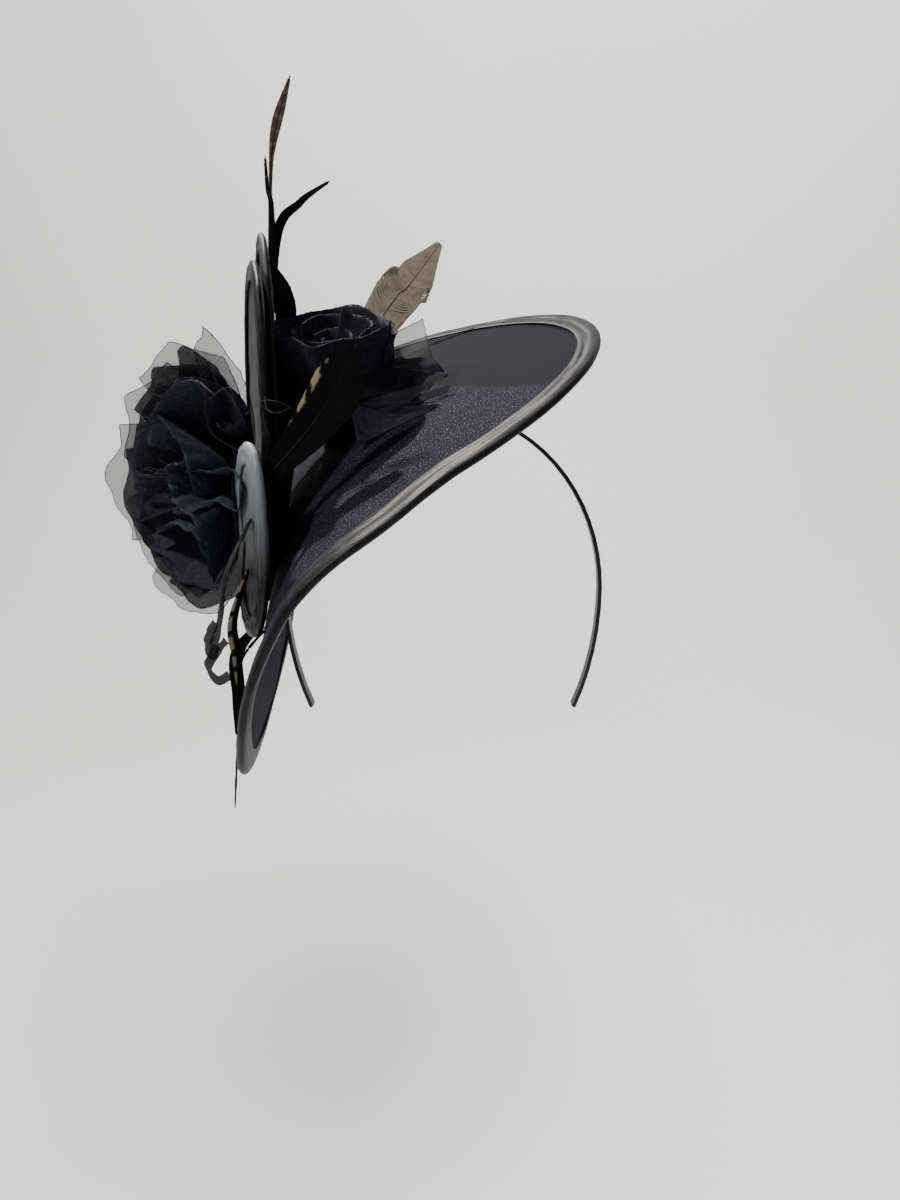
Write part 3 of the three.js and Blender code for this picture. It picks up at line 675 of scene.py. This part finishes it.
def putPetal(k, label, seed, angle, reach, lift, halfWidth, corner, layer, material, point):
    # a petal lies along the bowl of its layer and ends in a corner: its middle reaches furthest, and its
    # sides fall back by corner * side ** point, with side 1 at the edges. Ripples run out along it.
    u, v = np.meshgrid(np.linspace(0, 1, 60), np.linspace(0, 1, 44))
    side = 2 * u - 1
    radial = bowl["start"] + 1.04 * reach * v - corner * np.abs(side) ** point * v
    across = side * halfWidth * (0.2 + 0.8 * np.sqrt(np.minimum(1.3 * v, 1)))
    turn = math.radians(angle)
    x = radial * math.cos(turn) - across * math.sin(turn)
    y = radial * math.sin(turn) + across * math.cos(turn)
    out = np.maximum(np.hypot(x, y) - bowl["flat"], 0) / bowl["rises"]
    tall = lift + bowl["rightLift"] * (1 - x / np.hypot(x, y)) / 2
    z = bowl["floor"] + layer * (bowl["layer"] + bowl["spread"] * out) + tall * out ** bowl["cup"]
    z = z + bowl["ripple"] * v ** 2 * rumple(seed, 0.25 * u, 0.3 * v, 12, 4, 12, 0.3)
    world = placed("side", np.stack([x, y, z], -1))
    putCloth(f"sideRose{label}{k}", world, material, 0.25, "black_organza", f"side_rose_petal_{k}")
    around = np.concatenate([world[::2, 0], world[-1, ::2], world[::-2, -1]])
    inside = np.concatenate([world[::2, 3], world[-4, ::2], world[::-2, -4]]) - around
    fray("side", around, inside, seed + 5, 40, 2.0, 0.08)


print("side rose: strips and petals")
# an edge has rows of (angle in degrees, radius, height) round the rose's axis
sideStrips = {
    "OuterStrip": {
        "node": "outer_ruffle", "rootShare": 0.3, "floor": 3.9, "bulge": 5, "ripple": 1,
        "columns": 280, "closed": True, "hairs": 60,
        "edge": [(-168, 49, 29), (174, 48, 31), (159, 43, 32), (130, 39, 34), (105, 42, 34), (90, 46, 34),
            (76, 49, 33), (64, 48, 34), (60, 38, 34), (47, 31, 33), (28, 36, 29), (5, 33, 30),
            (-25, 36, 31), (-55, 43, 29), (-79, 49, 27), (-104, 48, 27), (-127, 45, 30),
            (-148, 55, 28)]},
    "InnerBand": {
        "rootShare": 0.45, "ripple": 0.7, "material": litChiffon,
        "edge": [(150, 36, 32), (126, 39, 32), (115, 30, 34), (91, 19, 35), (55, 12, 37), (26, 10, 37),
            (-20, 11, 36)]},
    "LeftStrip": {
        "bulge": 1.5, "hairs": 45, "hairLength": 4,
        "edge": [(-170, 44, 31), (179, 40, 32), (170, 24, 35), (137, 11, 37), (90, 10, 37), (48, 12, 37)]},
    "Pocket": {
        "edge": [(-157, 56, 28), (-153, 39, 32), (-145, 24, 34), (-128, 14, 35), (-100, 12, 35),
            (-60, 12, 35)]},
    "Heart": {
        "node": "heart", "bulge": 1, "ripple": 0.8, "material": litChiffon, "hairs": 45, "hairLength": 3,
        "edge": [(146, 9, 37), (-165, 7.5, 37), (-110, 8, 37), (-62, 17, 36), (-66, 28, 33),
            (-73, 38, 29)]},
    "LowerStrip": {
        "rootShare": 0.45, "ripple": 0.8, "material": litChiffon,
        "edge": [(-140, 40, 33), (-132, 26, 35), (-105, 18, 36), (-75, 23, 34), (-74, 32, 32),
            (-79, 46, 27)]},
    "RightStrip": {
        "bulge": 1, "ripple": 0.8, "material": litChiffon,
        "edge": [(40, 12, 36), (20, 22, 36), (16, 36, 34), (2, 41, 33), (-14, 36, 32), (-12, 24, 34),
            (-30, 14, 35)]},
    "Fold": {
        "node": "outer_ruffle", "rootShare": 0.5, "bulge": 1, "columns": 90,
        "edge": [(78, 46, 28), (70, 44, 29), (59, 37, 30), (47, 36, 30), (42, 41, 28), (40, 47, 26)]},
}
for k, (name, sizes) in enumerate(sideStrips.items()):
    putStrip("side", 101 + 10 * k, name, **sizes)
# angle, reach, lift, half width, corner and layer
sidePetals = [(78, 56, 18, 13, 16, 0), (98, 50, 18, 27, 12, 1), (140, 48, 18, 28, 6, 0),
              (182, 49, 18, 27, 8, 1), (220, 50, 18, 28, 4, 0), (257, 52, 18, 24, 6, 1)]
for k, (angle, reach, lift, halfWidth, corner, layer) in enumerate(sidePetals):
    # sheer petals towards the top and the wearer's right end in points, and the others are round
    pointed = angle < 200
    putPetal(k + 1, "Petal", 200 + 10 * k, angle, reach + (2 if pointed else -3), lift, halfWidth + 2,
             max(corner, 12 if pointed else 8), layer, sheerOrganza, 1.05 if pointed else 2)
    putPetal(k + 1, "MiddlePetal", 205 + 10 * k, angle + 13, 0.88 * reach, lift + 3, halfWidth + 1, 10,
             layer + 0.4, organza, 1.2)
    putPetal(k + 1, "InnerPetal", 207 + 10 * k, angle - 6, 0.72 * reach, lift + 7, halfWidth, 10,
             layer + 0.8, ruffleChiffon, 2)

print("top rose: strips and petals")
topStrips = {
    "OuterStrip": {
        "node": "outer_ruffle", "rootShare": 0.78, "floor": 5.3, "bulge": 2.5, "ripple": 1.6,
        "flare": 1.5, "columns": 220, "closed": True, "hairs": 60,
        "edge": [(200, 25, 45), (170, 25.5, 45), (140, 25, 45), (110, 25, 44.5), (80, 24.5, 44.5),
            (50, 25, 44), (20, 25.5, 44), (-10, 25, 44), (-40, 24, 44), (-70, 24, 44),
            (-100, 24.5, 44.5), (-130, 25, 45)]},
    "InnerStrip": {
        "rootShare": 0.45, "floor": 6.8, "ripple": 1, "columns": 180, "closed": True, "hairs": 80,
        "edge": [(200, 18, 43), (150, 16, 44), (110, 18, 44), (70, 15, 44), (30, 17, 43), (-10, 16, 42),
            (-50, 17, 41), (-90, 15.5, 41), (-130, 17, 42)]},
    "Heart": {
        "node": "heart", "floor": 7, "bulge": 1, "ripple": 0.6, "hairs": 60,
        "edge": [(180, 9, 39), (120, 8, 40), (60, 7, 40), (0, 8, 39), (-60, 7, 38), (-120, 6, 38),
            (180, 4, 38)]},
}
# outer petals that hug the cup on both sides: first angle, last angle, radius and height in the middle
for k, (first, last, radius, tall) in enumerate(((125, 225, 26.5, 43), (-20, 75, 27.3, 40))):
    angles = np.linspace(first, last, 6)
    heights = tall - 3.5 * np.abs(np.linspace(-1, 1, 6)) ** 1.6
    edge = [(angle, radius, height) for angle, height in zip(angles, heights)]
    topStrips[f"OuterPetal{k + 1}"] = {"node": "outer_ruffle", "rootShare": 0.74, "floor": 4, "flare": 1.5,
                                       "columns": 100, "hairs": 20, "edge": edge}
for k, (name, sizes) in enumerate(topStrips.items()):
    putStrip("top", 301 + 10 * k, name, **sizes)


def putPatch(seed, name, node, bow, material, *corners):
    # a square scrap of organza between four corners, bowed, with ripples that grow away from its root
    u, v = np.meshgrid(np.linspace(0, 1, 46), np.linspace(0, 1, 46))
    a, b, c, d = (np.array(corner, float) for corner in corners)
    u3, v3 = u[..., None], v[..., None]
    flat = (a * (1 - u3) + d * u3) * (1 - v3) + (b * (1 - u3) + c * u3) * v3
    normal = unit(np.cross(c - a, d - b))
    ripple = 0.6 * u * rumple(seed, 0.4 * u, 0.4 * v, 10, 1, 5)
    wave = bow * np.sin(np.pi * u) * np.sin(np.pi * (0.25 + 0.5 * v)) + ripple
    world = flat + normal * wave[..., None]
    putCloth("topRose" + name, world, material, 0.25, "black_organza", "top_rose_" + node)
    around = np.concatenate([world[0], world[:, -1], world[-1, ::-1]])
    inside = np.concatenate([world[2], world[:, -3], world[-3, ::-1]]) - around
    fray("top", around, inside, seed + 5, 30, 1.8, 0.06)


# name, node, bow, material and the corners: root below, root above, tip above, tip below
topScraps = [
    ("Petal3", "petal_3", 3, sheerOrganza, (-46, -24, 22), (-38, -10, 34), (-9.5, 2, 45), (-4.5, -14, 25.5)),
    ("Petal2", "petal_2", 4, organza, (-41.5, -38, 6), (-41.5, -32, 24.5), (-5.5, -16, 26.5), (3, -20, 17.5)),
    ("Petal2Fold", "petal_2", 3, organza, (-41.5, -38, 4), (-41.5, -32, 24), (3, -20, 18.5), (-18, -34, 2.5)),
    ("Petal1", "petal_1", 3, ruffleChiffon, (-38.5, -40, -14), (-41.5, -38, 4), (-18, -34, 3), (0, -36, 4.5)),
    ("Petal1Fold", "petal_1", 2, organza, (-35, -36, -14), (-41.5, -34, 4), (-0.5, -34, 4.5), (-18, -38, -8)),
    ("Fold", "inner_ruffle", 2, ruffleChiffon, (-51.5, -16, 29.5), (-47.5, -10, 49.5), (-30, -8, 37.5),
     (-30, -14, 28.5)),
    ("Leaf", "outer_ruffle", 3, ruffleChiffon, (-84.5, 2, -12), (-83.5, 6, 34), (-66, 0, 34), (-70, 2, -13)),
    ("Tail", "outer_ruffle", 2, ruffleChiffon, (-92, -11, -96), (-85, -2, -8), (-72, 4, -7), (-86, -7, -94)),
    ("Petal4", "petal_4", 3, organza, (-55, 12, 24), (-38, 12, 24), (-30, 26, 42), (-56, 28, 40)),
]
for k, scrap in enumerate(topScraps):
    putPatch(400 + 10 * k, *scrap)

print("frayed edges")
for rose, thread in (("side", paleThread), ("top", rawThread)):
    longest = max(len(edge) for edge in frayed[rose])
    rolls = np.stack([throughPoints(edge, longest) for edge in frayed[rose]])
    finishPiece(putTubes(rose + "RoseEdges", rolls, 0.2, rawThread), "black_chiffon")
    hairs = np.concatenate(frayHairs[rose])
    taper = np.linspace(0.09, 0.05, hairs.shape[1])
    finishPiece(putTubes(rose + "RoseFrays", hairs, taper, thread), "black_chiffon")


# Feathers: a quill with flat barbs on both sides. The path runs from its root on a panel to its tip.


# seat: panel, place a and b on it, and side; path: what follows the root; widths from root to tip
feathers = {
    "tall_feather": {
        "seat": ("tall_sail_inner", 0.35, -0.15, -1), "face": (0.2, -1, 0), "thick": 1.4,
        "path": [(-79.5, -12, 96), (-77, -10, 124), (-68.5, -10, 149.9)],
        "widths": (1.4, 1.4, 1.4, 1.4, 1.8, 4.2, 0.6), "material": tallPlume, "slot": "brown_feather"},
    "small_feather": {
        "seat": ("tall_sail_inner", 0.3, -0.42, -1), "face": (0.2, -1, 0), "widths": (1.4, 1.6, 2, 0.7),
        "path": [(-77.2, -21, 86), (-79.4, -18, 101), (-80.5, -15, 114.7)]},
    "curved_feather": {
        "seat": ("tall_sail_inner", 0.25, 0.15, -1), "face": (0.3, -1, 0.2), "widths": (2, 4, 4, 0.8),
        "path": [(-79, -2, 82), (-66, -10, 96), (-50.9, -18, 103.6)], "thick": 1.4},
    "leaf_feather": {
        "seat": ("tall_sail_inner", 0.1, -0.1, -1), "face": (0.3, -1, 0.1), "widths": (2, 8, 10, 1.2),
        "path": [(-76.6, -4, 40), (-75.8, -10, 54), (-80.5, -14, 70)]},
    "front_feather": {
        "seat": ("short_sail", 0.55, 0, -1), "face": (0.2, -1, 0.3), "widths": (4, 16, 22, 2), "thick": 1.6,
        "path": [(-68, -62, -18), (-50, -60, 4), (-37, -57, 29)], "left": edgedPlume},
    "lower_feather": {
        "seat": ("short_sail", -0.3, 0.1, 1), "face": (0.3, -1, 0), "widths": (1.2, 3.4, 4.4, 1),
        "path": [(-93.6, -68, -90.7), (-93.2, -66, -107.7), (-93.9, -64, -122.3)], "right": barredPlume},
    "hanging_feather": {
        "seat": ("brim", -0.5, -0.22, 1), "face": (0.2, -1, 0), "widths": (1.6, 6, 6, 2),
        "path": [(-101.2, -31, -116), (-102, -31, -138), (-103.5, -31, -159.3)]},
    "back_feather": {
        "seat": ("brim", -0.02, 0.66, 1), "face": (0.2, -1, 0.2), "widths": (1, 12, 26, 3), "thick": 1.6,
        "path": [(-31.5, 71, 55.5), (-19, 80, 70), (-1.7, 88, 93.5)], "slot": "brown_feather",
        "material": mottledPlume, "quill": brownQuill, "barbs": 5},
}


def featherPath(sizes, samples):
    # a curve from the root, which stands off its panel's middle surface by half of both thicknesses
    panelName, a, b, side = sizes["seat"]
    panel = panels[panelName]
    lift = side * ((panel["thickness"] + sizes.get("thick", 1.2)) / 2 + gap)
    root = overPanel(panel, np.array(float(a)), np.array(float(b)), lift)
    return throughPoints([root, *sizes["path"]], samples)


def widthAlong(widths, samples):
    # a smooth curve through the widths, which are spaced evenly
    rows = np.stack([np.linspace(0, 1, len(widths)), np.array(widths, float) / 100], -1)
    curve = throughPoints(rows, samples)
    return np.interp(np.linspace(0, 1, samples), curve[:, 0], curve[:, 1]) * 100


def pathAxes(path, face):
    # along the path, across it at right angles to face, and the cross product of the two
    along = unit(np.gradient(path, axis=0))
    across = unit(np.cross(along, np.array(face, float)))
    return along, across, unit(np.cross(across, along))


def putStrands(name, paths, halfWidths, normals, uvAlong, uvAcross, material):
    # flat strands: paths is (strands, steps, 3), halfWidths has one number for each step, and each strand
    # is widened at right angles to its normals
    along = unit(np.gradient(paths, axis=1))
    across = unit(np.cross(along, normals))
    edges = np.stack([paths + way * across * halfWidths[:, None] for way in (-1, 1)], 2)
    count, steps = paths.shape[:2]
    every = repeatQuads(gridQuads(steps, 2)[0], count, 2 * steps)
    uv = np.stack([np.repeat(part[..., None], 2, -1) for part in (uvAlong, uvAcross)], -1).reshape(-1, 2)
    return putMesh(name, edges.reshape(-1, 3), every, uv[every].reshape(-1, 2), material)


# the quill's radius and a barb's half width, both from root to tip; a barb's slant and arch as shares of its
# length; and the depth of the layer under the barbs
featherBuild = {"quill": (0.55, 0.12), "barb": (0.4, 0.3), "slant": 0.8, "arch": 0.12, "baseDepth": 0.12}


def putFeather(name, sizes):
    # a barb leaves the quill at a slant, bends towards the tip, and reaches the vane's edge
    s = featherBuild
    samples = 160
    plume = sizes.get("material", blackPlume)
    slot = sizes.get("slot", "black_feather")
    path = featherPath(sizes, samples)
    width = widthAlong(sizes["widths"], samples)
    run = np.concatenate([[0], np.cumsum(np.linalg.norm(np.diff(path, axis=0), axis=1))])
    along, across, over = pathAxes(path, sizes["face"])
    quillRadius = np.linspace(*s["quill"], samples)
    quill = putTubes(name + "Quill", path[None], quillRadius, sizes.get("quill", blackQuill), 6)
    finishPiece(quill, slot, name)
    t = np.linspace(-0.92, 0.92, 9)[:, None, None]
    base = path[None] + t * across[None] * (width / 2)[None, :, None] - s["baseDepth"] * over[None]
    finishPiece(putGrid(name + "Base", base, plume, (width.max(), run[-1])), slot, name)
    count = int(run[-1] * sizes.get("barbs", 3))
    rng = np.random.default_rng(len(name) * 7 + count)
    for side, tag in ((-1, "Left"), (1, "Right")):
        at = np.linspace(0.02, 0.985, count) * (samples - 1) + rng.uniform(-0.4, 0.4, count)
        i = at.astype(int)
        half = np.interp(at, np.arange(samples), width / 2) * rng.uniform(0.96, 1.0, count)
        t = np.linspace(0, 1, 7)[None, :]
        outwards = half[:, None] * np.sin(t * np.pi / 2) ** 0.9
        forwards = half[:, None] * s["slant"] * t ** 1.5 + 0.2 * t
        lifted = s["arch"] * half[:, None] * t * (1 - t) + rng.normal(0, 0.06, (count, 1)) * t
        paths = (path[i][:, None] + side * across[i][:, None] * outwards[..., None]
                 + along[i][:, None] * forwards[..., None] + over[i][:, None] * lifted[..., None])
        halves = np.linspace(*s["barb"], 7)
        normals = np.repeat(over[i][:, None], 7, 1)
        uvAlong = run[i][:, None] + forwards * 0.3
        vane = putStrands(name + "Vane" + tag, paths, halves, normals, uvAlong, side * outwards,
                          sizes.get(tag.lower(), plume))
        finishPiece(vane, slot, name)


print("feathers: quills and barbs")
for name, sizes in feathers.items():
    putFeather(name, sizes)


print("ribbon tail, hanging stem and loose ends")
ribbon = {"seat": ("short_sail", 0.25, -0.3, 1), "thick": 1.0, "widths": (4, 5, 6, 7),
          "path": [(-92, -80, -66), (-97, -77, -88), (-102.2, -73, -103.1)], "face": (-0.8, -0.5, 0)}
path = featherPath(ribbon, 90)
width = widthAlong(ribbon["widths"], 90)
along, across, over = pathAxes(path, ribbon["face"])
t = np.linspace(-1, 1, 13)[:, None, None]
creases = rumple(501, np.linspace(0, 1, 90)[None, :], t[..., 0], 8, 2, 6)[..., None]
cup = 0.5 * np.cos(t * np.pi / 2) + 0.25 * creases
ribbonGrid = path[None] + t * across[None] * (width / 2)[None, :, None] + over[None] * cup
ribbonPiece = putGrid("ribbonTail", ribbonGrid, ribbonOrganza, (6, 100))
giveWall(ribbonPiece, 0.35)
finishPiece(ribbonPiece, "black_ribbon", "ribbon_tail")

stem = {"seat": ("brim", -0.55, -0.1, 1),
        "path": [(-102.6, -24, -126), (-105.5, -24, -165), (-108.8, -24, -202.9)]}
path = featherPath(stem, 80)
knots = 1 + 0.15 * np.sin(np.linspace(0, 60, 80))
radius = np.interp(np.linspace(0, 1, 80), [0, 0.9, 1], [0.8, 0.6, 0.3]) * knots
finishPiece(putTubes("hangingStem", path[None], radius, blackQuill, 8), "black_ribbon", "hanging_stem")


def putRibbon(name, seed, width, points):
    # a narrow ribbon along a path, nearly flat to the front, that twists a little
    path = throughPoints(points, 60)
    _, across, over = pathAxes(path, (-0.4, -1, 0))
    share = np.linspace(0, 1, 60)
    lean = (0.5 * rumple(seed, share, 0 * share, 6, 1, 4))[:, None]
    across = unit(across + lean * over)
    t = np.linspace(-1, 1, 9)[:, None, None]
    grid = path[None] + t * across[None] * width / 2 + 0.3 * np.cos(t * np.pi / 2) * over[None]
    piece = putGrid(name, grid, ribbonOrganza, (width, 60))
    giveWall(piece, 0.2)
    finishPiece(piece, "black_ribbon")


putRibbon("ribbonLoopLeft", 511, 4, [
    (-99.5, -76, -89), (-103, -75, -96), (-104, -74, -101), (-102, -74, -105), (-100, -75, -100)])
putRibbon("ribbonLoopRight", 521, 4.5, [
    (-95.5, -74, -98), (-101.5, -74, -105), (-104.5, -73, -111), (-100.5, -73, -117), (-95, -73, -114.5)])
putRibbon("stemScrap", 531, 2.6, [
    (-103.5, -25, -149), (-101, -25, -158), (-100.5, -25, -165.5), (-102.5, -25, -172), (-106, -25, -178)])
threadPaths = [
    [(-86, -58, -0.5), (-78.5, -60, 5.5), (-72.5, -62, 6), (-67, -61, 4), (-64, -60, 2)],
    [(-77, -57, 7.5), (-76, -60, 3), (-73, -62, 1), (-70, -61, 1), (-65.5, -60, 3)],
    [(-100, -62, 6.5), (-95, -62, 10.5), (-89.5, -60, 12)],
    [(-78, -58, 1), (-77, -60, -5), (-75, -61, -9), (-76, -60, -14)],
]
paths = np.stack([throughPoints(points, 40) for points in threadPaths])
finishPiece(putTubes("looseThreads", paths, 0.14, paleThread, 6), "black_chiffon")
# two thin pale arcs that lie on the brim, as places (a, b) on its surface
onBrim = np.array([[(0.04, -0.48), (0.10, -0.50), (0.17, -0.54)],
                   [(0.05, -0.64), (0.09, -0.66), (0.13, -0.71)]])
places = np.stack([throughPoints(np.insert(row, 2, 0, axis=1), 24) for row in onBrim])
lying = overPanel(panels["brim"], places[..., 0], places[..., 1], 1.5)
finishPiece(putTubes("brimPaleArcs", lying, 0.2, paleThread, 6), "black_crepe")

print("headband and calyxes")
asPacked = {"headband": bandSatin, "side_rose_calyx": calyxFelt, "top_rose_calyx": calyxFelt}
for node, material in asPacked.items():
    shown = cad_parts[node]
    shown.data.materials.clear()
    shown.data.materials.append(material)


print("stage: floor, lights and camera")
floorPoints = [(0, -1500, -430), (0, 300, -430), (0, 900, -400), (0, 1250, -150), (0, 1350, 400),
               (0, 1380, 2200)]
floorProfile = throughPoints(floorPoints, 60)
floorX = np.linspace(-2500, 2500, 9)[None, :, None] * np.array([1.0, 0, 0])
# matt backdrop paper, faintly clouded
paper, paperTree = startMaterial("backdropPaper")
paperColour = mixColours(clouds(objectPlace(paperTree), 1.2), "#d9d8d5", "#e6e5e2")
finishMaterial(paper, {"Roughness": 0.9}, {"Base Color": paperColour})
backdrop = putGrid("backdrop", floorProfile[:, None, :] + floorX, paper, (4000, 5000))


def addLight(name, place, target, size, watts, colour, backdropLink=None):
    # a square lamp that faces its target. It may be kept off the backdrop, or on it alone, so that black
    # cloth and pale paper are exposed alike.
    light = bpy.data.lights.new(name, "AREA")
    light.shape = "SQUARE"
    light.size = size
    light.energy = watts
    light.color = toLinear(colour)[:3]
    lamp = bpy.data.objects.new(name, light)
    lamp.location = place
    direction = np.array(target) - np.array(place)
    lamp.rotation_euler = (math.acos(-direction[2] / np.linalg.norm(direction)), 0,
                           math.atan2(direction[1], direction[0]) - math.pi / 2)
    scene.collection.objects.link(lamp)
    if backdropLink:
        group = bpy.data.collections.new(name + "Receivers")
        group.objects.link(backdrop)
        group.collection_objects[0].light_linking.link_state = backdropLink
        lamp.light_linking.receiver_collection = group


addLight("keyLight", (-0.46, 0.38, 1.11), (-0.03, -0.02, 0), 0.035, 72, "#fff8f0", "EXCLUDE")
addLight("leftSpot", (-0.75, -0.45, 0.85), (-0.08, -0.03, 0), 0.1, 18, "#fffaf4", "EXCLUDE")
addLight("frontFill", (0.45, -1.5, 0.7), (0, 0, 0), 1.2, 5, "#f2f5ff")
addLight("backdropLight", (0.3, -0.4, 1.6), (0, 1.0, -0.3), 1.4, 98, "#ffffff", "INCLUDE")

world = bpy.data.worlds.new("studio")
scene.world = world
world.use_nodes = True
sky = world.node_tree.nodes["Background"]
sky.inputs[0].default_value = toLinear("#e4e6ea")
sky.inputs[1].default_value = 0.26      # strength

lens = bpy.data.cameras.new("lens")
lens.lens = 27.03
lens.sensor_width = 36
lens.sensor_fit = "AUTO"
camera = bpy.data.objects.new("camera", lens)
camera.location = (0.004, -0.461, 0.008)
camera.rotation_euler = (math.radians(90 - 12.76), 0, 0)
scene.collection.objects.link(camera)
bpy.context.scene.camera = camera
